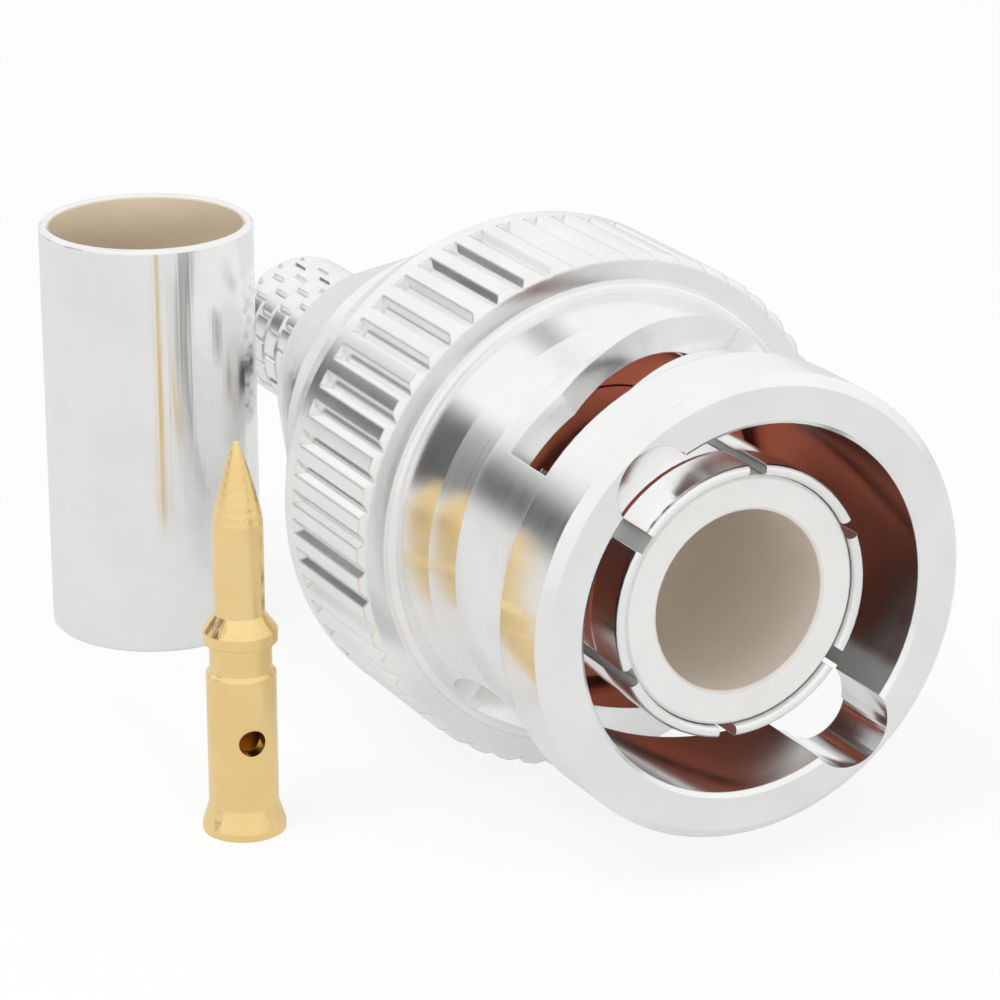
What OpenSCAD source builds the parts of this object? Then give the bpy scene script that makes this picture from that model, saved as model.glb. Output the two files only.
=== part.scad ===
// Bayonet coupling coaxial plug for crimping, lying on its grip ring,
// with its loose centre contact and its crimp ferrule standing beside it.
// +X points out of the mating face along the connector's axis, +Z is up,
// and the origin is the centre of the coupling nut's mouth. Millimetres.
// Angles round the axis are counted from +Z towards +Y.

/* [Coupling nut] */
// Length of the nut, mouth to rear face
nut_length = 14.4; // [14:0.1:16]
// Radius of the bore that takes the jack's shell
mating_bore_radius = 4.9; // [4.86:0.01:4.98]
// Radius of the rim at the mouth
rim_radius = 6.18; // [6.05:0.01:6.4]
// Length of the rim
rim_length = 2.1; // [1.8:0.1:2.3]
// Bevel on the rim's front edge
rim_bevel = 0.28; // [0.1:0.02:0.4]
// Bevel inside the mouth
mouth_bevel = 0.12; // [0.05:0.01:0.2]
// Radius of the neck behind the rim
neck_radius = 5.62; // [5.5:0.01:5.75]
// Distance from the mouth to the end of the straight neck
neck_end = 5.6; // [5.2:0.1:5.9]
// Distance from the mouth to the line where the collar starts
collar_start = 6.65; // [6.3:0.05:6.9]
// Radius at the line where the collar starts
collar_start_radius = 5.87; // [5.8:0.01:5.95]
// Radius of the collar's rounded edge
collar_radius = 6.45; // [6.3:0.01:6.6]
// Rounding of the collar's edge
collar_edge_round = 0.22; // [0.1:0.02:0.3]

/* [Grip ring] */
// Radius of the grip ring, on which the plug rests
grip_radius = 7.2; // [7.1:0.01:7.6]
// Distance from the mouth to the grip ring's front face
grip_front = 8.0; // [7.9:0.05:8.2]
// Bevel on the ring's front edge
grip_bevel = 0.16; // [0.05:0.01:0.3]
// Number of grip flutes
flute_count = 54; // [40:1:58]
// Depth of a flute
flute_depth = 0.19; // [0.12:0.01:0.3]
// Width of a flute at the surface
flute_width = 0.46; // [0.3:0.01:0.5]
// Length of the plain part of the ring behind the flutes
grip_band = 0.5; // [0.3:0.05:0.6]
// Length over which the ring tapers behind the plain part
grip_taper_length = 0.65; // [0.4:0.05:0.7]
// Fall in radius over that taper
grip_taper = 0.32; // [0.1:0.02:0.5]
// Length of the cone from that taper to the nut's rear face
rear_cone_length = 1.2; // [0.9:0.05:1.4]
// Radius of the nut's rear face
nut_rear_radius = 6.3; // [6.1:0.01:6.5]

/* [Bayonet track] */
// Angle of the entry groove from the top
entry_angle = -38; // [-50:1:-30]
// Radius of the entry groove's round bottom
entry_radius = 1.12; // [1.05:0.01:1.2]
// Distance from the axis to the centre of that round bottom
entry_centre = 4.74; // [4.65:0.01:4.8]
// Angle from the groove's middle back to the pocket's end wall
pocket_back = 14.4; // [13.5:0.1:16]
// Rear edge of the pocket, from the mouth
pocket_rear = 4.85; // [4.6:0.05:5]
// Front edge of the pocket, from the mouth
pocket_front = 2.2; // [2.15:0.01:2.4]
// Width of the track
track_width = 2.2; // [2.1:0.05:2.3]
// Middle of the track where it leaves the pocket, from the mouth
track_start = 3.7; // [3.6:0.02:3.8]
// Angle from the groove's middle to where the track leaves the pocket
track_lead_in = 5; // [3:1:8]
// Advance of the track in a whole turn
track_lead = 14; // [12:0.1:14.4]
// Turn from the groove's middle to the detent's middle
track_turn = 82; // [75:1:85]
// Radius of the detent hole
detent_radius = 1.15; // [1.12:0.01:1.2]
// How far the detent lies in front of the track's end
detent_step = 0.14; // [0.1:0.01:0.2]

/* [Inside the nut] */
// How far the nut slides forward against its spring
nut_travel = 0.8; // [0.5:0.05:0.9]
// Thickness of the gasket
gasket_thickness = 0.9; // [0.7:0.05:1]
// Thickness of the body's flange
flange_thickness = 1.0; // [0.8:0.05:1.1]
// Height of the wave washer when the nut has slid all the way forward
wave_squeezed = 0.7; // [0.5:0.05:0.8]
// Thickness of the thrust washer
thrust_thickness = 0.35; // [0.3:0.01:0.4]
// Thickness of the retaining ring
snap_thickness = 0.7; // [0.5:0.05:0.75]
// Radius of the retaining ring
snap_radius = 5.35; // [5.25:0.01:5.45]
// Gap between the retaining ring and the body's guide land
snap_to_land = 0.32; // [0.2:0.01:0.4]
// Opening of the retaining ring, as an angle
snap_gap = 40; // [25:1:60]
// Thickness of the wave washer's strip
wave_strip = 0.22; // [0.15:0.01:0.3]
// Number of waves round the washer
wave_count = 3; // [3:1:4]
// Radial clearance of what turns or slides on a guide
running_gap = 0.08; // [0.05:0.01:0.1]
// Clearance round what is only dropped in
loose_gap = 0.15; // [0.1:0.01:0.2]

/* [Plug body] */
// Radius of the neck that the washers sit on
body_neck_radius = 4.05; // [3.95:0.01:4.15]
// Length of the land that guides the nut's rear end
guide_length = 0.95; // [0.8:0.05:1]
// Radius of the collar that stops the nut
stop_radius = 5.3; // [5.2:0.01:5.4]
// Depth of the recess for that collar in the nut's rear face
stop_depth = 0.7; // [0.5:0.05:0.8]
// Radius of the body behind the nut
body_radius = 5.0; // [4.9:0.01:5.15]
// Length of the straight body between the nut and the cone
body_straight = 2.8; // [2.4:0.1:3.2]
// Length of the cone
cone_length = 4.3; // [3.8:0.1:4.8]
// Radius at the end of the cone
cone_rear_radius = 3.3; // [3.2:0.01:3.5]

/* [Crimp stem] */
// Radius of the crimp stem
stem_radius = 2.2; // [2.1:0.01:2.3]
// Length of the crimp stem
stem_length = 5.5; // [5:0.1:6]
// Radius of the stem's bore, for the cable's core
stem_bore_radius = 1.5; // [1.45:0.01:1.55]
// Pitch of the stem's ring grooves
stem_groove_pitch = 0.85; // [0.75:0.01:0.9]
// Width of a ring groove
stem_groove_width = 0.18; // [0.12:0.01:0.25]
// Depth of the stem's grooves and cuts
stem_groove_depth = 0.12; // [0.08:0.01:0.16]
// Number of lengthwise cuts in each band of the stem
stem_cut_count = 18; // [12:1:20]

/* [Outer contact] */
// Radius of the slotted sleeve
sleeve_radius = 3.65; // [3.6:0.01:3.7]
// Wall of the sleeve
sleeve_wall = 0.3; // [0.28:0.01:0.34]
// Front of the sleeve, behind the mouth
sleeve_front = 0.65; // [0.6:0.01:0.8]
// How deep the sleeve is pressed into the body
sleeve_seat = 1.5; // [1.2:0.05:1.8]
// Number of slots in the sleeve
sleeve_slots = 6; // [4:1:8]
// Width of a sleeve slot
sleeve_slot_width = 0.5; // [0.3:0.02:0.6]
// Length of a sleeve slot
sleeve_slot_length = 5.6; // [5:0.1:6]
// Angle of the first slot
sleeve_slot_angle = 6; // [0:1:59]
// How far the sleeve is turned down behind its contact lip
sleeve_relief = 0.06; // [0.03:0.01:0.08]
// Length of the contact lip
sleeve_lip = 1.3; // [1:0.05:1.6]

/* [Insulators] */
// Front of the front insulator, behind the mouth
insulator_front = 0.8; // [0.75:0.01:1]
// Radius of the bore that takes the jack's insulator
insulator_bore_radius = 2.42; // [2.4:0.01:2.45]
// Depth of that bore
insulator_bore_depth = 7.2; // [7:0.1:7.3]
// Thickness of the front insulator's floor
insulator_floor = 1.0; // [0.8:0.05:1.2]
// Length of the front insulator behind its floor
insulator_tail = 2.0; // [1.8:0.05:2.2]
// Length of the rear insulator
rear_insulator_length = 3.0; // [2.6:0.1:3.2]
// Bevel on the insulator's front edges
insulator_bevel = 0.08; // [0.04:0.01:0.15]

/* [Centre contact] */
// Radius of the pin
pin_radius = 0.66; // [0.65:0.005:0.675]
// Length of the pin's pointed tip
tip_length = 2.15; // [1.9:0.05:2.6]
// Radius of the very point
tip_end_radius = 0.09; // [0.05:0.01:0.15]
// Length of the pin's straight part
pin_straight = 2.5; // [2.2:0.05:3]
// Radius of the catch collar
catch_radius = 0.98; // [0.96:0.01:1]
// Length of the catch collar
catch_length = 0.75; // [0.65:0.05:0.9]
// Length of the waist behind the catch collar
waist_length = 0.9; // [0.8:0.05:1.1]
// Radius of that waist
waist_radius = 0.82; // [0.78:0.01:0.86]
// Radius of the solder barrel
barrel_radius = 0.92; // [0.9:0.01:0.94]
// Length of the barrel
barrel_length = 4.4; // [4.2:0.1:4.8]
// Radius of the barrel's flared end
flare_radius = 1.1; // [1.05:0.01:1.15]
// Length of the flare
flare_length = 0.75; // [0.6:0.05:0.9]
// Radius of the barrel's bore, for the cable's conductor
barrel_bore_radius = 0.5; // [0.45:0.01:0.55]
// Radius of the barrel's sight hole
sight_radius = 0.36; // [0.3:0.01:0.4]
// Height of the sight hole above the barrel's end
sight_height = 2.7; // [2.5:0.05:3]
// Way that the sight hole faces, from +X towards +Y
sight_angle = -7; // [-45:1:45]
// Place of the contact beside the plug: along X
contact_x = -8.7; // [-9:0.1:-8.2]
// Place of the contact beside the plug: along Y
contact_y = -10.3; // [-12:0.05:-10.1]

/* [Crimp ferrule] */
// Outer radius of the ferrule
ferrule_radius = 3.1; // [3.05:0.01:3.15]
// Inner radius of the ferrule
ferrule_bore_radius = 2.8; // [2.75:0.01:2.85]
// Length of the ferrule
ferrule_length = 12.2; // [11.5:0.1:13]
// Bevel on the ferrule's edges
ferrule_bevel = 0.1; // [0.05:0.01:0.12]
// Place of the ferrule beside the plug: along X
ferrule_x = -23.7; // [-24.5:0.1:-23]
// Place of the ferrule beside the plug: along Y
ferrule_y = -6.35; // [-7.5:0.05:-6.2]

/* [Hidden] */
$fn = 96;
silver = [0.86, 0.86, 0.87];
spring_grey = [0.62, 0.63, 0.66];
off_white = [0.93, 0.92, 0.9];
silicone_red = [0.62, 0.26, 0.2];
gold = [0.88, 0.68, 0.28];

// How far a cutter reaches past the surface that it cuts
over = 0.3;
// The surface that everything stands on
ground = -grip_radius;

// Stations along the axis, all negative because the mouth is at zero
nut_rear = -nut_length;
taper_rear = nut_rear + rear_cone_length;
band_rear = taper_rear + grip_taper_length;
flute_rear = band_rear + grip_band;
recess_floor = nut_rear + stop_depth;
face_gap = 0.02;
gasket_gap = 0.03;
stop_front = recess_floor - face_gap;
stop_rear = nut_rear + loose_gap;
guide_front = stop_front + guide_length;
snap_rear = guide_front + snap_to_land;
snap_front = snap_rear + snap_thickness;
thrust_front = snap_front + thrust_thickness;
spring_room = nut_travel + wave_squeezed;
flange_rear = thrust_front + spring_room;
flange_front = flange_rear + flange_thickness;
gasket_face = flange_front + gasket_thickness;
cone_front = nut_rear - body_straight;
stem_front = cone_front - cone_length;
stem_rear = stem_front - stem_length;

// Radii that fit in or round each other
guide_radius = mating_bore_radius - running_gap;
thrust_inner = body_neck_radius + running_gap;
snap_inner = body_neck_radius + loose_gap;
groove_radius = snap_radius + loose_gap;
recess_radius = stop_radius + loose_gap;
sleeve_bore = sleeve_radius - sleeve_wall;
sleeve_base_radius = sleeve_radius - sleeve_relief;
insulator_radius = sleeve_bore - face_gap;
passage_gap = 0.06;
contact_passage = catch_radius + passage_gap;
pin_passage = pin_radius + passage_gap;

// Insulator stations
insulator_face = -insulator_front;
bore_floor = insulator_face - insulator_bore_depth;
floor_rear = bore_floor - insulator_floor;
front_insulator_rear = floor_rear - insulator_tail;
rear_insulator_rear = front_insulator_rear - rear_insulator_length;
sleeve_rear = flange_front - sleeve_seat;

// Bayonet track: its middle line as a function of the angle round the axis
track_begin = entry_angle + track_lead_in;
detent_angle = entry_angle + track_turn;
function track_x(angle) = -track_start - track_lead * (angle - track_begin) / 360;
track_cut_inner = mating_bore_radius - over;
track_cut_outer = grip_radius + over;
track_steps = 40;
track_rows = 3;
// How far, as an angle, the pocket and the detent each reach into the track
track_join = 4;

// A solid of revolution about the X axis: the section's first coordinate is
// the radius and its second the station along X.
module turned() {
    rotate([0, 90, 0])
        rotate_extrude()
            children();
}

// A section across the axis, drawn along X from one station to another
module along_axis(front, rear) {
    translate([rear, 0, 0])
        rotate([0, 90, 0])
            linear_extrude(front - rear)
                children();
}

// Turns what is drawn at the top round the axis
module at_angle(angle) {
    rotate([-angle, 0, 0])
        children();
}

// A point of a section across the axis
function across(radius, angle) = [-radius * cos(angle), radius * sin(angle)];

// The point at a station, a radius and an angle round the axis
function round_axis(station, radius, angle) =
    [station, radius * sin(angle), radius * cos(angle)];

// A closed strip through rings of points, each ring listed the same way round
module swept_strip(rings) {
    count = len(rings[0]);
    last = count * (len(rings) - 1);
    sides = [
        for (start = [0 : count : last - count])
            for (k = [0 : count - 1])
                let (a = start + k, b = start + (k + 1) % count)
                    for (face = [[a, b, b + count], [a, b + count, a + count]]) face
    ];
    front_cap = [for (k = [count - 1 : -1 : 0]) k];
    end_cap = [for (k = [0 : count - 1]) last + k];
    points = [for (ring = rings) for (point = ring) point];
    polyhedron(points, concat(sides, [front_cap, end_cap]));
}

// A plain ring about the axis
module plain_ring(outer, inner, front, rear) {
    turned()
        polygon([[inner, rear], [outer, rear], [outer, front], [inner, front]]);
}

// A ring about the axis with an opening, its middle at the given angle
module split_ring(outer, inner, front, rear, gap, gap_angle) {
    difference() {
        plain_ring(outer, inner, front, rear);
        along_axis(front + over, rear - over)
            polygon([
                across(inner / 4, gap_angle),
                across(outer * 2, gap_angle - gap / 2),
                across(outer * 2, gap_angle + gap / 2)
            ]);
    }
}

// V-shaped cuts along the axis, spread evenly round a cylinder
module v_cuts(count, radius, width, depth, front, rear, first_angle = 0) {
    top = 0.05;
    half = width / 2 * (depth + top) / depth;
    half_angle = atan(half / (radius + top));
    for (i = [0 : count - 1]) {
        angle = first_angle + i * 360 / count;
        along_axis(front, rear)
            polygon([
                across(radius - depth, angle),
                across(radius + top, angle - half_angle),
                across(radius + top, angle + half_angle)
            ]);
    }
}

// ---- Coupling nut ----

module nut_section() {
    polygon(concat(
        [
            [mating_bore_radius + mouth_bevel, 0],
            [rim_radius - rim_bevel, 0],
            [rim_radius, -rim_bevel],
            [rim_radius, -rim_length],
            [neck_radius, -rim_length],
            [neck_radius, -neck_end],
            [collar_start_radius, -collar_start]
        ],
        [for (a = [0 : 30 : 90]) [
            collar_radius - collar_edge_round * (1 - sin(a)),
            -grip_front + collar_edge_round * cos(a)
        ]],
        [
            [grip_radius - grip_bevel, -grip_front],
            [grip_radius, -grip_front - grip_bevel],
            [grip_radius, band_rear],
            [grip_radius - grip_taper, taper_rear],
            [nut_rear_radius, nut_rear],
            [recess_radius, nut_rear],
            [recess_radius, recess_floor],
            [mating_bore_radius, recess_floor],
            [mating_bore_radius, snap_rear],
            [groove_radius, snap_rear],
            [groove_radius, snap_front],
            [mating_bore_radius, snap_front],
            [mating_bore_radius, -mouth_bevel]
        ]
    ));
}

// The helical part of the track: a strip of constant width in X, swept
// round the axis from inside the bore to outside the neck. Its walls are
// twisted, so they have a few rows of faces.
module helical_track(begin, end) {
    function row_radius(row) =
        track_cut_inner + (track_cut_outer - track_cut_inner) * row / track_rows;
    corners = concat(
        [for (row = [0 : track_rows]) [track_width / 2, row_radius(row)]],
        [for (row = [track_rows : -1 : 0]) [-track_width / 2, row_radius(row)]]
    );
    swept_strip([
        for (i = [0 : track_steps])
            let (angle = begin + (end - begin) * i / track_steps)
                [for (corner = corners) round_axis(track_x(angle) + corner[0], corner[1], angle)]
    ]);
}

// Square-ended pocket behind the rim, where the jack's lug comes in
module track_pocket() {
    pocket_end = track_begin + track_join;
    pocket_start = entry_angle - pocket_back;
    rotate([180 - pocket_end, 0, 0])
        rotate([0, 90, 0])
            rotate_extrude(angle = pocket_end - pocket_start)
                polygon([
                    [track_cut_inner, -pocket_rear],
                    [track_cut_outer, -pocket_rear],
                    [track_cut_outer, -pocket_front],
                    [track_cut_inner, -pocket_front]
                ]);
}

module bayonet_track() {
    groove_end = (pocket_front + pocket_rear) / 2;
    at_angle(entry_angle)
        translate([-groove_end, 0, entry_centre])
            rotate([0, 90, 0])
                cylinder(r = entry_radius, h = groove_end + over);
    track_pocket();
    helical_track(track_begin, detent_angle - track_join);
    at_angle(detent_angle)
        translate([track_x(detent_angle) + detent_step, 0, track_cut_inner])
            cylinder(r = detent_radius, h = track_cut_outer - track_cut_inner);
}

module coupling_nut() {
    color(silver)
        difference() {
            turned()
                nut_section();
            v_cuts(flute_count, grip_radius, flute_width, flute_depth,
                -grip_front + over / 2, flute_rear);
            for (side = [0, 180])
                at_angle(side)
                    bayonet_track();
        }
}

// ---- Plug body ----

// Ring grooves of the crimp stem, from the cone to the stem's end
function stem_groove_points(count) = [
    for (i = [1 : count])
        let (middle = stem_front - i * stem_groove_pitch)
            for (step = [
                [stem_radius, middle + stem_groove_width / 2],
                [stem_radius - stem_groove_depth, middle],
                [stem_radius, middle - stem_groove_width / 2]
            ]) step
];

stem_grooves = floor((stem_length - stem_groove_width) / stem_groove_pitch);
stem_plain_share = 0.35;

module body_section() {
    polygon(concat(
        [
            [sleeve_base_radius, flange_front],
            [guide_radius, flange_front],
            [guide_radius, flange_rear],
            [body_neck_radius, flange_rear],
            [body_neck_radius, guide_front],
            [guide_radius, guide_front],
            [guide_radius, stop_front],
            [stop_radius, stop_front],
            [stop_radius, stop_rear],
            [body_radius, stop_rear],
            [body_radius, cone_front],
            [cone_rear_radius, stem_front],
            [stem_radius, stem_front]
        ],
        stem_groove_points(stem_grooves),
        [
            [stem_radius, stem_rear + ferrule_bevel],
            [stem_radius - ferrule_bevel, stem_rear],
            [stem_bore_radius, stem_rear],
            [stem_bore_radius, rear_insulator_rear],
            [insulator_radius, rear_insulator_rear],
            [insulator_radius, sleeve_rear],
            [sleeve_base_radius, sleeve_rear]
        ]
    ));
}

module plug_body() {
    color(silver)
        difference() {
            turned()
                body_section();
            // each band between two ring grooves has its own offset cuts,
            // and the first starts clear of the cone
            for (i = [0 : stem_grooves])
                v_cuts(stem_cut_count, stem_radius,
                    stem_groove_width, stem_groove_depth,
                    stem_front - max(i, stem_plain_share) * stem_groove_pitch,
                    max(stem_front - (i + 1) * stem_groove_pitch, stem_rear - over),
                    (i % 2) * 180 / stem_cut_count);
        }
}

// ---- Outer contact ----

module sleeve_section() {
    lip_rear = -sleeve_front - sleeve_lip;
    nose = sleeve_wall / 2;
    ramp = sleeve_relief * 4;
    polygon(concat(
        [for (a = [0 : 30 : 180]) [
            sleeve_radius - nose + nose * cos(a),
            -sleeve_front - nose + nose * sin(a)
        ]],
        [
            [sleeve_bore, sleeve_rear],
            [sleeve_base_radius, sleeve_rear],
            [sleeve_base_radius, lip_rear - ramp],
            [sleeve_radius, lip_rear]
        ]
    ));
}

module outer_contact() {
    slot_rear = -sleeve_front - sleeve_slot_length;
    color(silver)
        difference() {
            turned()
                sleeve_section();
            for (i = [0 : sleeve_slots - 1])
                at_angle(sleeve_slot_angle + i * 360 / sleeve_slots)
                    translate([slot_rear, -sleeve_slot_width / 2, sleeve_bore / 2])
                        cube([sleeve_slot_length + over, sleeve_slot_width, sleeve_radius]);
        }
}

// ---- Insulators ----

module front_insulator() {
    color(off_white)
        turned()
            polygon([
                [insulator_bore_radius + insulator_bevel, insulator_face],
                [insulator_radius - insulator_bevel, insulator_face],
                [insulator_radius, insulator_face - insulator_bevel],
                [insulator_radius, front_insulator_rear],
                [contact_passage, front_insulator_rear],
                [contact_passage, floor_rear],
                [pin_passage, floor_rear],
                [pin_passage, bore_floor],
                [insulator_bore_radius, bore_floor],
                [insulator_bore_radius, insulator_face - insulator_bevel]
            ]);
}

module rear_insulator() {
    color(off_white)
        plain_ring(insulator_radius, contact_passage,
            front_insulator_rear, rear_insulator_rear);
}

// ---- Gasket and the pieces that carry the nut ----

module gasket() {
    gasket_inner = sleeve_base_radius + gasket_gap;
    gasket_outer = guide_radius - running_gap;
    edge = 0.25;
    color(silicone_red)
        turned()
            polygon(concat(
                [
                    [gasket_inner, gasket_face],
                    [gasket_inner, flange_front],
                    [gasket_outer, flange_front]
                ],
                [for (a = [0 : 30 : 90]) [
                    gasket_outer - edge * (1 - cos(a)),
                    gasket_face - edge * (1 - sin(a))
                ]]
            ));
}

// A flat strip bent into waves between the flange and the thrust washer
module wave_washer() {
    steps = 72;
    opening = 16;
    inner = thrust_inner;
    outer = guide_radius - 0.05;
    middle = (flange_rear + thrust_front) / 2;
    swing = (spring_room - wave_strip) / 2 - face_gap;
    function crest(angle) = middle + swing * cos(wave_count * angle);
    corners = [
        [wave_strip / 2, inner],
        [wave_strip / 2, outer],
        [-wave_strip / 2, outer],
        [-wave_strip / 2, inner]
    ];
    color(spring_grey)
        swept_strip([
            for (i = [0 : steps])
                let (angle = opening / 2 + (360 - opening) * i / steps)
                    [for (corner = corners) round_axis(crest(angle) + corner[0], corner[1], angle)]
        ]);
}

module thrust_washer() {
    color(spring_grey)
        plain_ring(guide_radius, thrust_inner, thrust_front, snap_front);
}

module snap_ring() {
    color(spring_grey)
        split_ring(snap_radius, snap_inner, snap_front, snap_rear, snap_gap, 180);
}

// ---- Loose pieces of the set ----

module contact_section() {
    barrel_top = barrel_length;
    waist_top = barrel_top + waist_length;
    catch_top = waist_top + catch_length;
    pin_top = catch_top + pin_straight;
    catch_land = catch_length * 0.4;
    polygon(concat(
        [
            [0, 0],
            [flare_radius, 0],
            [flare_radius, flare_length / 4],
            [barrel_radius, flare_length],
            [barrel_radius, barrel_top],
            [waist_radius, barrel_top + (barrel_radius - waist_radius)],
            [waist_radius, waist_top],
            [catch_radius, waist_top],
            [catch_radius, waist_top + catch_land],
            [pin_radius, catch_top]
        ],
        // the point is an ogive: fullest at the pin, flattening to the end
        [for (t = [0 : 0.125 : 1]) [
            tip_end_radius + (pin_radius - tip_end_radius) * (1 - pow(t, 1.25)),
            pin_top + tip_length * t
        ]],
        [[0, pin_top + tip_length]]
    ));
}

module centre_contact() {
    color(gold)
        translate([contact_x, contact_y, ground])
            difference() {
                rotate_extrude()
                    contact_section();
                translate([0, 0, -over])
                    cylinder(r = barrel_bore_radius, h = barrel_length + over);
                rotate([0, 0, sight_angle])
                    translate([0, 0, sight_height])
                        rotate([0, 90, 0])
                            cylinder(r = sight_radius, h = flare_radius * 2);
            }
}

module crimp_ferrule() {
    inner = ferrule_bore_radius;
    outer = ferrule_radius;
    color(silver)
        translate([ferrule_x, ferrule_y, ground])
            rotate_extrude()
                polygon([
                    [inner, 0],
                    [outer - ferrule_bevel, 0],
                    [outer, ferrule_bevel],
                    [outer, ferrule_length - ferrule_bevel],
                    [outer - ferrule_bevel, ferrule_length],
                    [inner + ferrule_bevel, ferrule_length],
                    [inner, ferrule_length - ferrule_bevel]
                ]);
}

coupling_nut();
plug_body();
outer_contact();
front_insulator();
rear_insulator();
gasket();
wave_washer();
thrust_washer();
snap_ring();
centre_contact();
crimp_ferrule();
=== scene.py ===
"""Looks of the bayonet crimp plug, its loose centre contact and its crimp ferrule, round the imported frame.

Metres, unless a name ends in MM. +X points out of the mating face, +Z is up, and everything rests on the floor.
"""
import math

import bpy
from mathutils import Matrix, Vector


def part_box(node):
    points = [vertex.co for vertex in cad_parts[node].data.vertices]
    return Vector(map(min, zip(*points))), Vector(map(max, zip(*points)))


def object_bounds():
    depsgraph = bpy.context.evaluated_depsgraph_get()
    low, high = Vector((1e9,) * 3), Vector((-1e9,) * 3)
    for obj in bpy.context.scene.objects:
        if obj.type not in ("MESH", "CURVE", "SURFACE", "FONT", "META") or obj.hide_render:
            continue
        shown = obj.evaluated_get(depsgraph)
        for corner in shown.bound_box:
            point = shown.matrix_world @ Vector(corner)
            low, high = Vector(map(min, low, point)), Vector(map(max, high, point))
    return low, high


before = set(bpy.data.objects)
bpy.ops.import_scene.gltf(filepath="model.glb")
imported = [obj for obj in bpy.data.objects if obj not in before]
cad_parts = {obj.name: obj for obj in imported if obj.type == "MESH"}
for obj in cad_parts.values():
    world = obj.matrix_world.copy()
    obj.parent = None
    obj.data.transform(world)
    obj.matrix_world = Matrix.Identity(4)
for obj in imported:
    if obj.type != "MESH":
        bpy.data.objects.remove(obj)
cad_low, cad_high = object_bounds()
MM = 0.001

# ---- Places of the loose pieces, from the frame ----
FLOOR_Z = cad_low.z
CONTACT_LOW, CONTACT_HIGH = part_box("centre_contact")
FERRULE_LOW, FERRULE_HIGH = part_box("crimp_ferrule")
CONTACT_CENTRE = (CONTACT_LOW + CONTACT_HIGH) / 2
FERRULE_CENTRE = (FERRULE_LOW + FERRULE_HIGH) / 2
FERRULE_RADIUS = (FERRULE_HIGH.x - FERRULE_LOW.x) / 2
PLUG_CENTRE = Vector((0, 0, 0))
UP = Vector((0, 0, 1))
INSULATOR_BORE = 2.42 * MM
# A little less than the ferrule's own wall, so that its whole inner face is dull
FERRULE_WALL = 0.28 * MM

# ---- Camera ----
VIEW_AZIMUTH = 27.8
VIEW_ELEVATION = 20.0
MOUTH_RIGHT_MM = 6.44
MOUTH_BELOW_MM = 2.80
MOUTH_DISTANCE_MM = 100.3
LENS_MM = 144
SENSOR_MM = 36
NEAREST_SEEN = 0.005

# ---- Turned surfaces ----
AXES = {"X": Vector((1, 0, 0)), "Z": Vector((0, 0, 1))}
# Facets whose sideways tilt (a sine) is below this belong to a turned surface
TURNED_TILT = 0.045
# Cosines between which a softened normal takes over from the turned one
EDGE_STARTS = 0.999
EDGE_FULL = 0.985
# Advance of the bayonet tracks in a whole turn, and the cosine within which a facet belongs to them
TRACK_LEAD = 14.0 * MM
TRACK_MATCH = 0.99
# Stretch of the nut along the axis whose edges are rounder: the fluted grip
GRIP_REAR = -12.7 * MM
GRIP_FRONT = -7.9 * MM
# Radii of the softened edges
PLATING_EDGE_MM = 0.05
GRIP_EDGE_MM = 0.12
TUBE_EDGE_MM = 0.06
POLYMER_EDGE_MM = 0.06
EDGE_SAMPLES = 6

# ---- Textures: noises per metre, and what they do ----
PATCH_SCALE = 420
RING_SCALE = 9000
GRAIN_SCALE = 6000
MOTTLE_SCALE = 700
POLYMER_RING_SCALE = 5000
FIBRE_SCALE = 300
# Detail and roughness of the richer noises
RICH_NOISE = (3.0, 0.6)
# Depth of the turning rings, the grain's share of it, and the roughness that the rings add at most
RING_DEPTH_MM = 0.0008
GRAIN_SHARE = 0.5
RING_ROUGHNESS = 0.03
# Widths over which the look changes where a bore begins: the ferrule's dull inside, and the painted shade in the
# insulator's bore
TUBE_PASSAGE = 0.03 * MM
BORE_SHADE_PASSAGE = 0.06 * MM
POLYMER_IOR = 1.38
POLYMER_GLOW_REACH = 0.6 * MM

# ---- Finishes: light and dark colour, and lowest and highest roughness ----
PLATED = ((0.93, 0.93, 0.925), (0.89, 0.89, 0.885))
GOLD = ((1.0, 0.76, 0.38), (0.95, 0.69, 0.31))
SPRING = ((0.55, 0.56, 0.58), (0.48, 0.49, 0.52))
TUBE_INSIDE = ((0.86, 0.75, 0.58), (0.83, 0.72, 0.55))
INSULATOR = ((0.82, 0.815, 0.80), (0.79, 0.785, 0.765))
# Painted shade: a beige that stands in for the shade deep in the white insulator's bore
INSULATOR_BORE_PAINTED_SHADE = (0.84, 0.77, 0.68)
SILICONE = ((0.74, 0.20, 0.11), (0.67, 0.165, 0.09))
NUT_SHEEN = (0.12, 0.18)
BODY_SHEEN = (0.14, 0.2)
SLEEVE_SHEEN = (0.12, 0.18)
TUBE_SHEEN = (0.12, 0.18)
TUBE_INSIDE_ROUGHNESS = 0.6
GOLD_SHEEN = (0.16, 0.24)
SPRING_SHEEN = (0.25, 0.35)
INSULATOR_SHEEN = (0.38, 0.5)
INSULATOR_GRAIN_MM = 0.002
INSULATOR_GLOW = 0.12
SILICONE_SHEEN = (0.4, 0.55)
SILICONE_GRAIN_MM = 0.003

# ---- Studio ----
ROOM_LIGHT = 0.62
# How bright reflections find the room, straight up and at the horizon
MIRRORED_TOP = 1.0
MIRRORED_HORIZON = 0.9
# Upward part of the direction from which on the room is as bright as at the top
TOP_BEGINS = 0.5
# Cards that only reflections see: direction, half width, half height and softness as tangents, and level
CARDS = [
    ((-0.83, -0.50, 0.19), 0.20, 0.13, 0.11, 0.12),
    ((-0.36, -0.86, 0.38), 0.22, 0.30, 0.12, 0.10),
    ((-0.40, -0.02, 0.915), 0.10, 0.08, 0.12, 0.30),
]
# Least forward part of a direction, which keeps the tangents finite and sky behind a card out of it
LEAST_FORWARD = 0.001
WHITE = (1, 1, 1, 1)
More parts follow.
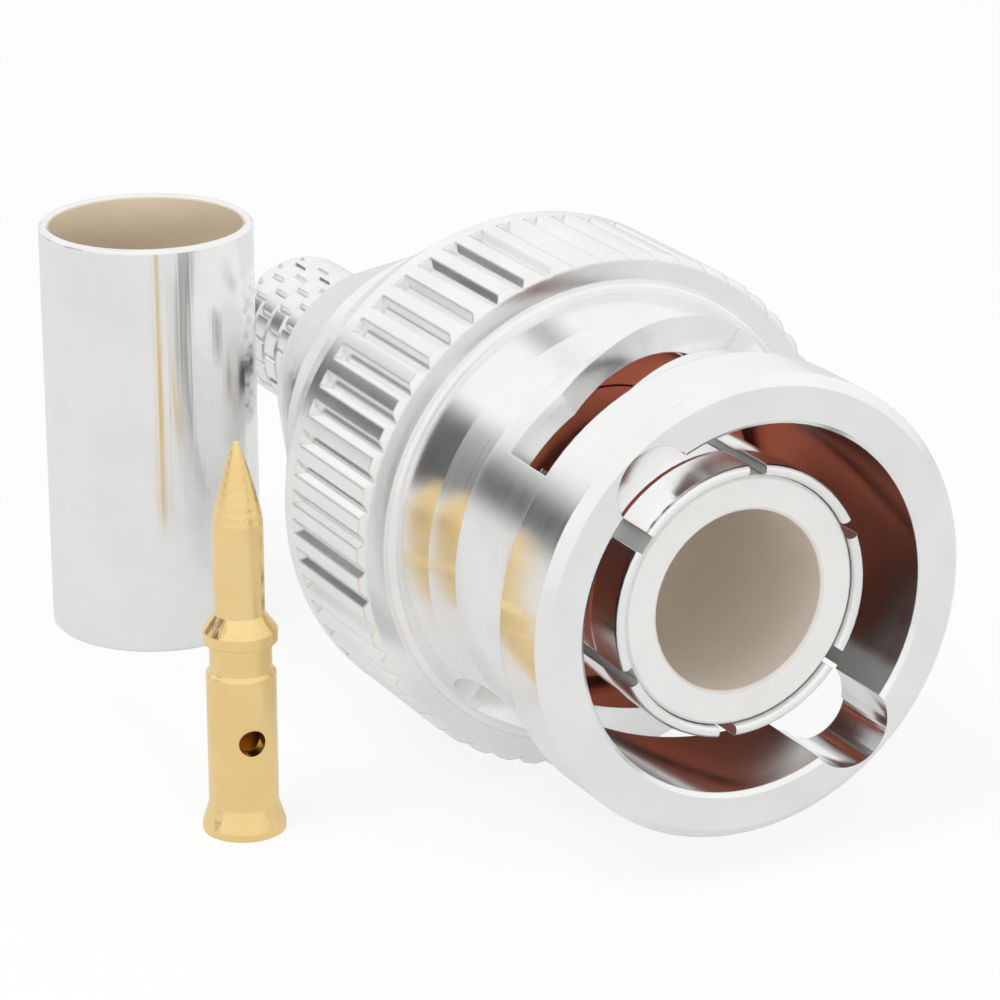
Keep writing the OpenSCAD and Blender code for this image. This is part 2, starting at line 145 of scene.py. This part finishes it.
# The floor's share of plain glow and that glow's level, for the camera and for reflections
FLOOR_SEEN = (0.78, 1.05)
FLOOR_MIRRORED = (0.6, 0.84)
FLOOR_WIDTH = 1.2
PAPER_LIGHT = (0.93, 0.93, 0.93)
PAPER_DARK = (0.92, 0.92, 0.92)
# Soft lamps: place, diameter and power
LAMPS = {
    "key": ((0.02, -0.16, 0.26), 0.16, 0.22),
    "front": ((0.30, -0.02, 0.05), 0.08, 0.26),
}
LAMP_AIM = (-0.008, -0.002, 0)


# ---- Node helpers ----

def add_node(tree, kind, inputs=None, output=0, **settings):
    """Adds a node, fills its named inputs with plain values or other sockets, and returns one output."""
    made = tree.nodes.new("ShaderNode" + kind)
    for name, value in settings.items():
        setattr(made, name, value)
    for name, value in (inputs or {}).items():
        fill(tree, made.inputs[name], value)
    return made.outputs[output]


def fill(tree, socket, value):
    if isinstance(value, bpy.types.NodeSocket):
        tree.links.new(value, socket)
    else:
        socket.default_value = value


def maths(tree, operation, *values):
    return add_node(tree, "Math", dict(enumerate(values)), operation=operation)


def vector_maths(tree, operation, *values, output="Vector"):
    return add_node(tree, "VectorMath", dict(enumerate(values)), output, operation=operation)


def scaled(tree, vector, factor):
    return add_node(tree, "VectorMath", {0: vector, "Scale": factor}, operation="SCALE")


def spread(tree, value, low, high, from_low=0.35, from_high=0.65):
    """Maps a value between two limits, by default those of most noise, onto a range, and keeps it inside."""
    limits = {"Value": value, "From Min": from_low, "From Max": from_high, "To Min": low, "To Max": high}
    return add_node(tree, "MapRange", limits)


def smooth_step(tree, value, from_low, from_high):
    """0 below the first limit, 1 above the second, and a soft passage between them."""
    limits = {"Value": value, "From Min": from_low, "From Max": from_high}
    return add_node(tree, "MapRange", limits, interpolation_type="SMOOTHSTEP")


def blend(tree, factor, first, second, data_type="RGBA"):
    return add_node(tree, "Mix", {"Factor": factor, "A": first, "B": second}, "Result", data_type=data_type)


def blend_colours(tree, factor, first, second):
    ends = [value if isinstance(value, bpy.types.NodeSocket) else (*value, 1) for value in (first, second)]
    return blend(tree, factor, *ends)


def noise(tree, vector, scale, detail=2.0, roughness=0.5):
    return add_node(tree, "TexNoise", {"Vector": vector, "Scale": scale, "Detail": detail, "Roughness": roughness})


def new_material(name):
    """A material with an empty node tree; returns the material, its tree and the surface input to fill."""
    material = bpy.data.materials.new(name)
    material.use_nodes = True
    tree = material.node_tree
    tree.nodes.clear()
    return material, tree, tree.nodes.new("ShaderNodeOutputMaterial").inputs["Surface"]


# ---- Turned surfaces: the metal pieces that show were made on a lathe ----

def lathe_parts(tree, position, axis, centre):
    """Distance along the axis, distance from it, and the offset across it."""
    spindle = AXES[axis]
    offset = vector_maths(tree, "SUBTRACT", position, centre)
    across = vector_maths(tree, "MULTIPLY", offset, Vector((1, 1, 1)) - spindle)
    along = vector_maths(tree, "DOT_PRODUCT", offset, spindle, output="Value")
    distance = vector_maths(tree, "LENGTH", across, output="Value")
    return along, distance, across


def lathe_coordinates(tree, axis, centre):
    """The object's own coordinates, the same folded round the axis, and the distance from the axis."""
    position = add_node(tree, "TexCoord", output="Object")
    along, distance, _ = lathe_parts(tree, position, axis, centre)
    return position, add_node(tree, "CombineXYZ", {"X": along, "Y": distance}), distance


def lathe_normal(tree, axis, centre, edge_mm, grip_edge_mm=None):
    """The true normal with the facets of turned surfaces smoothed round the axis, and edges softened.

    A grip_edge_mm is for the coupling nut: the edges of its flutes are rounder, and its bayonet tracks are smoothed.
    """
    position = add_node(tree, "NewGeometry", output="Position")
    plain = add_node(tree, "NewGeometry", output="True Normal")
    along, distance, across = lathe_parts(tree, position, axis, centre)
    around = vector_maths(tree, "CROSS_PRODUCT", AXES[axis], vector_maths(tree, "NORMALIZE", across))
    sideways = vector_maths(tree, "DOT_PRODUCT", plain, around, output="Value")
    turned = maths(tree, "LESS_THAN", maths(tree, "ABSOLUTE", sideways), TURNED_TILT)
    tilt = scaled(tree, around, maths(tree, "MULTIPLY", sideways, turned))
    smooth = vector_maths(tree, "NORMALIZE", vector_maths(tree, "SUBTRACT", plain, tilt))
    radius = edge_mm * MM
    if grip_edge_mm:
        in_grip = maths(tree, "MULTIPLY", maths(tree, "GREATER_THAN", along, GRIP_REAR),
                        maths(tree, "LESS_THAN", along, GRIP_FRONT))
        radius = blend(tree, in_grip, edge_mm * MM, grip_edge_mm * MM, "FLOAT")
        smooth = track_normal(tree, plain, smooth, AXES[axis], around, distance)
    soft = add_node(tree, "Bevel", {"Radius": radius, "Normal": plain}, samples=EDGE_SAMPLES)
    agreement = vector_maths(tree, "DOT_PRODUCT", soft, plain, output="Value")
    at_edge = spread(tree, agreement, 1.0, 0.0, EDGE_FULL, EDGE_STARTS)
    return vector_maths(tree, "NORMALIZE", blend(tree, at_edge, smooth, soft, "VECTOR"))


def track_normal(tree, plain, smooth, spindle, around, distance):
    """The exact normal of the bayonet tracks' helical walls on the facets that belong to them."""
    slope = maths(tree, "DIVIDE", TRACK_LEAD / (2 * math.pi), distance)
    helical = vector_maths(tree, "NORMALIZE", vector_maths(tree, "SUBTRACT", spindle, scaled(tree, around, slope)))
    match = vector_maths(tree, "DOT_PRODUCT", plain, helical, output="Value")
    on_track = maths(tree, "GREATER_THAN", maths(tree, "ABSOLUTE", match), TRACK_MATCH)
    return blend(tree, on_track, smooth, scaled(tree, helical, maths(tree, "SIGN", match)), "VECTOR")


def with_bump(tree, height, depth_mm, normal):
    return add_node(tree, "Bump", {"Height": height, "Distance": depth_mm * MM, "Normal": normal})


def plating(name, colours, axis, centre, roughness, grip_edge_mm=None):
    """The metal of a turned piece: an uneven sheen, faint turning rings and softened edges."""
    material, tree, surface = new_material(name)
    position, folded, _ = lathe_coordinates(tree, axis, centre)
    patches = noise(tree, position, PATCH_SCALE, *RICH_NOISE)
    rings = noise(tree, folded, RING_SCALE, *RICH_NOISE)
    grain = noise(tree, position, GRAIN_SCALE)
    height = maths(tree, "ADD", rings, maths(tree, "MULTIPLY", grain, GRAIN_SHARE))
    rubbed = maths(tree, "ADD", spread(tree, patches, *roughness), spread(tree, rings, 0.0, RING_ROUGHNESS))
    normal = lathe_normal(tree, axis, centre, PLATING_EDGE_MM, grip_edge_mm)
    tree.links.new(add_node(tree, "BsdfPrincipled", {
        "Base Color": blend_colours(tree, spread(tree, patches, 0, 1), *colours),
        "Metallic": 1.0,
        "Roughness": rubbed,
        "Normal": with_bump(tree, height, RING_DEPTH_MM, normal),
    }), surface)
    return material


def tube_plating(name, colours, inside_colours, roughness, inner_radius):
    """The crimp ferrule: plated outside, dull and beige inside the tube."""
    material, tree, surface = new_material(name)
    position, folded, distance = lathe_coordinates(tree, "Z", FERRULE_CENTRE)
    patches = noise(tree, position, PATCH_SCALE, *RICH_NOISE)
    rings = noise(tree, folded, RING_SCALE, *RICH_NOISE)
    normal = lathe_normal(tree, "Z", FERRULE_CENTRE, TUBE_EDGE_MM)
    uneven = spread(tree, patches, 0, 1)
    outside = add_node(tree, "BsdfPrincipled", {
        "Base Color": blend_colours(tree, uneven, *colours),
        "Metallic": 1.0,
        "Roughness": spread(tree, patches, *roughness),
        "Normal": with_bump(tree, rings, RING_DEPTH_MM, normal),
    })
    inside = add_node(tree, "BsdfPrincipled", {
        "Base Color": blend_colours(tree, uneven, *inside_colours),
        "Roughness": TUBE_INSIDE_ROUGHNESS,
        "Normal": normal,
    })
    is_outside = smooth_step(tree, distance, inner_radius, inner_radius + TUBE_PASSAGE)
    tree.links.new(add_node(tree, "MixShader", {0: is_outside, 1: inside, 2: outside}), surface)
    return material


def polymer(name, colours, roughness, grain_mm, soft_glow=0.0, bore=None):
    """Turned or moulded plastic or rubber, with a faint mottle; the last argument, if given, is a radius and the
    colour of painted shade inside it.
    """
    material, tree, surface = new_material(name)
    position, folded, distance = lathe_coordinates(tree, "X", PLUG_CENTRE)
    mottle = noise(tree, position, MOTTLE_SCALE, *RICH_NOISE)
    rings = noise(tree, folded, POLYMER_RING_SCALE)
    colour = blend_colours(tree, spread(tree, mottle, 0, 1), *colours)
    if bore:
        # Painted shade: inside the bore's radius the colour turns to a beige that stands in for the shade in the
        # bore
        bore_radius, bore_shade_colour = bore
        outside_bore_shade = smooth_step(tree, distance, bore_radius, bore_radius + BORE_SHADE_PASSAGE)
        colour = blend_colours(tree, outside_bore_shade, bore_shade_colour, colour)
    tree.links.new(add_node(tree, "BsdfPrincipled", {
        "Base Color": colour,
        "Roughness": spread(tree, mottle, *roughness),
        "IOR": POLYMER_IOR,
        "Subsurface Weight": soft_glow,
        "Subsurface Scale": POLYMER_GLOW_REACH,
        "Normal": with_bump(tree, rings, grain_mm, lathe_normal(tree, "X", PLUG_CENTRE, POLYMER_EDGE_MM)),
    }), surface)
    return material


def dress(node, material):
    """Gives a CAD node one material."""
    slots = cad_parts[node].data.materials
    slots.clear()
    slots.append(material)


def dress_all():
    """Dresses all eleven nodes; the three spring parts share one material, and so do the two insulators."""
    spring = plating("spring_metal", SPRING, "X", PLUG_CENTRE, SPRING_SHEEN)
    white = polymer("insulator_white_bore_shade", INSULATOR, INSULATOR_SHEEN, INSULATOR_GRAIN_MM, INSULATOR_GLOW,
                    bore=(INSULATOR_BORE, INSULATOR_BORE_PAINTED_SHADE))
    for node, material in {
        "coupling_nut": plating("nut_plating", PLATED, "X", PLUG_CENTRE, NUT_SHEEN, GRIP_EDGE_MM),
        "plug_body": plating("body_plating", PLATED, "X", PLUG_CENTRE, BODY_SHEEN),
        "outer_contact": plating("sleeve_plating", PLATED, "X", PLUG_CENTRE, SLEEVE_SHEEN),
        "crimp_ferrule": tube_plating("ferrule_plating", PLATED, TUBE_INSIDE, TUBE_SHEEN,
                                      FERRULE_RADIUS - FERRULE_WALL),
        "centre_contact": plating("gold_plating", GOLD, "Z", CONTACT_CENTRE, GOLD_SHEEN),
        "wave_washer": spring,
        "thrust_washer": spring,
        "snap_ring": spring,
        "front_insulator": white,
        "rear_insulator": white,
        "gasket": polymer("silicone_red", SILICONE, SILICONE_SHEEN, SILICONE_GRAIN_MM),
    }.items():
        dress(node, material)


# ---- Studio: room, floor, lamps and camera ----

def card_mask(tree, direction, centre, half_width, half_height, soft):
    """1 inside a soft-edged card in the sky, seen from the origin, and 0 outside it."""
    ahead = Vector(centre).normalized()
    right = ahead.cross(UP).normalized()
    forward = vector_maths(tree, "DOT_PRODUCT", direction, ahead, output="Value")
    depth = maths(tree, "MAXIMUM", forward, LEAST_FORWARD)
    inside = []
    for side, half in ((right, half_width), (right.cross(ahead), half_height)):
        reach = vector_maths(tree, "DOT_PRODUCT", direction, side, output="Value")
        offset = maths(tree, "ABSOLUTE", maths(tree, "DIVIDE", reach, depth))
        inside.append(maths(tree, "SUBTRACT", 1.0, smooth_step(tree, offset, half - soft, half + soft)))
    return maths(tree, "MULTIPLY", *inside)


def looked_at(tree):
    """1 for what is seen straight or in a reflection, 0 for the light that dull surfaces gather."""
    rays = ("Is Camera Ray", "Is Glossy Ray", "Is Transmission Ray")
    straight, mirrored, through = (add_node(tree, "LightPath", output=ray) for ray in rays)
    return maths(tree, "MAXIMUM", straight, maths(tree, "MAXIMUM", mirrored, through))


def studio_room():
    """White for the camera, even for the light, and softly graded with a few grey cards for reflections."""
    world = bpy.data.worlds.new("studio")
    bpy.context.scene.world = world
    world.use_nodes = True
    tree = world.node_tree
    tree.nodes.clear()
    surface = tree.nodes.new("ShaderNodeOutputWorld").inputs["Surface"]
    direction = add_node(tree, "TexCoord", output="Generated")
    height = vector_maths(tree, "DOT_PRODUCT", direction, UP, output="Value")
    level = spread(tree, height, MIRRORED_HORIZON, MIRRORED_TOP, 0.0, TOP_BEGINS)
    for centre, half_width, half_height, soft, card_level in CARDS:
        mask = card_mask(tree, direction, centre, half_width, half_height, soft)
        level = blend(tree, mask, level, card_level, "FLOAT")
    camera_ray = add_node(tree, "LightPath", output="Is Camera Ray")
    seen_level = maths(tree, "MAXIMUM", level, camera_ray)
    seen = add_node(tree, "Background", {"Color": WHITE, "Strength": seen_level})
    even = add_node(tree, "Background", {"Color": WHITE, "Strength": ROOM_LIGHT})
    tree.links.new(add_node(tree, "MixShader", {0: looked_at(tree), 1: even, 2: seen}), surface)


def floor():
    """A pale floor that reads as white paper, with the object's soft shadow left on it."""
    bpy.ops.mesh.primitive_plane_add(size=FLOOR_WIDTH, location=(0, 0, FLOOR_Z))
    made = bpy.context.object
    made.name = "floor"
    material, tree, surface = new_material("floor_paper")
    fibres = noise(tree, add_node(tree, "TexCoord", output="Object"), FIBRE_SCALE, *RICH_NOISE)
    paper = add_node(tree, "BsdfDiffuse", {
        "Color": blend_colours(tree, spread(tree, fibres, 0, 1), PAPER_LIGHT, PAPER_DARK),
    })
    camera_ray = add_node(tree, "LightPath", output="Is Camera Ray")
    share, strength = (blend(tree, camera_ray, mirrored, seen, "FLOAT") for mirrored, seen in
                       zip(FLOOR_MIRRORED, FLOOR_SEEN))
    glow = add_node(tree, "Emission", {"Color": WHITE, "Strength": strength})
    shown = maths(tree, "MULTIPLY", looked_at(tree), share)
    tree.links.new(add_node(tree, "MixShader", {0: shown, 1: paper, 2: glow}), surface)
    made.data.materials.append(material)


def lamps():
    """Soft lamps that light the plain surfaces; metal doesn't show them."""
    for name, (place, diameter, power) in LAMPS.items():
        data = bpy.data.lights.new(name, "AREA")
        data.shape = "DISK"
        data.size = diameter
        data.energy = power
        made = bpy.data.objects.new(name, data)
        bpy.context.scene.collection.objects.link(made)
        made.location = place
        made.rotation_euler = (Vector(LAMP_AIM) - Vector(place)).to_track_quat("-Z", "Y").to_euler()
        made.visible_glossy = False


def camera():
    azimuth, elevation = math.radians(VIEW_AZIMUTH), math.radians(VIEW_ELEVATION)
    toward = Vector((math.cos(azimuth), -math.sin(azimuth), 0))
    right = Vector((math.sin(azimuth), math.cos(azimuth), 0))
    back = toward * math.cos(elevation) + UP * math.sin(elevation)
    up = UP * math.cos(elevation) - toward * math.sin(elevation)
    data = bpy.data.cameras.new("camera")
    data.lens = LENS_MM
    data.sensor_width = SENSOR_MM
    data.clip_start = NEAREST_SEEN
    made = bpy.data.objects.new("camera", data)
    bpy.context.scene.collection.objects.link(made)
    made.location = (-right * MOUTH_RIGHT_MM + up * MOUTH_BELOW_MM + back * MOUTH_DISTANCE_MM) * MM
    made.rotation_euler = back.to_track_quat("Z", "Y").to_euler()
    bpy.context.scene.camera = made


camera()
dress_all()
studio_room()
floor()
lamps()

bpy.context.scene.view_settings.view_transform = "Standard"
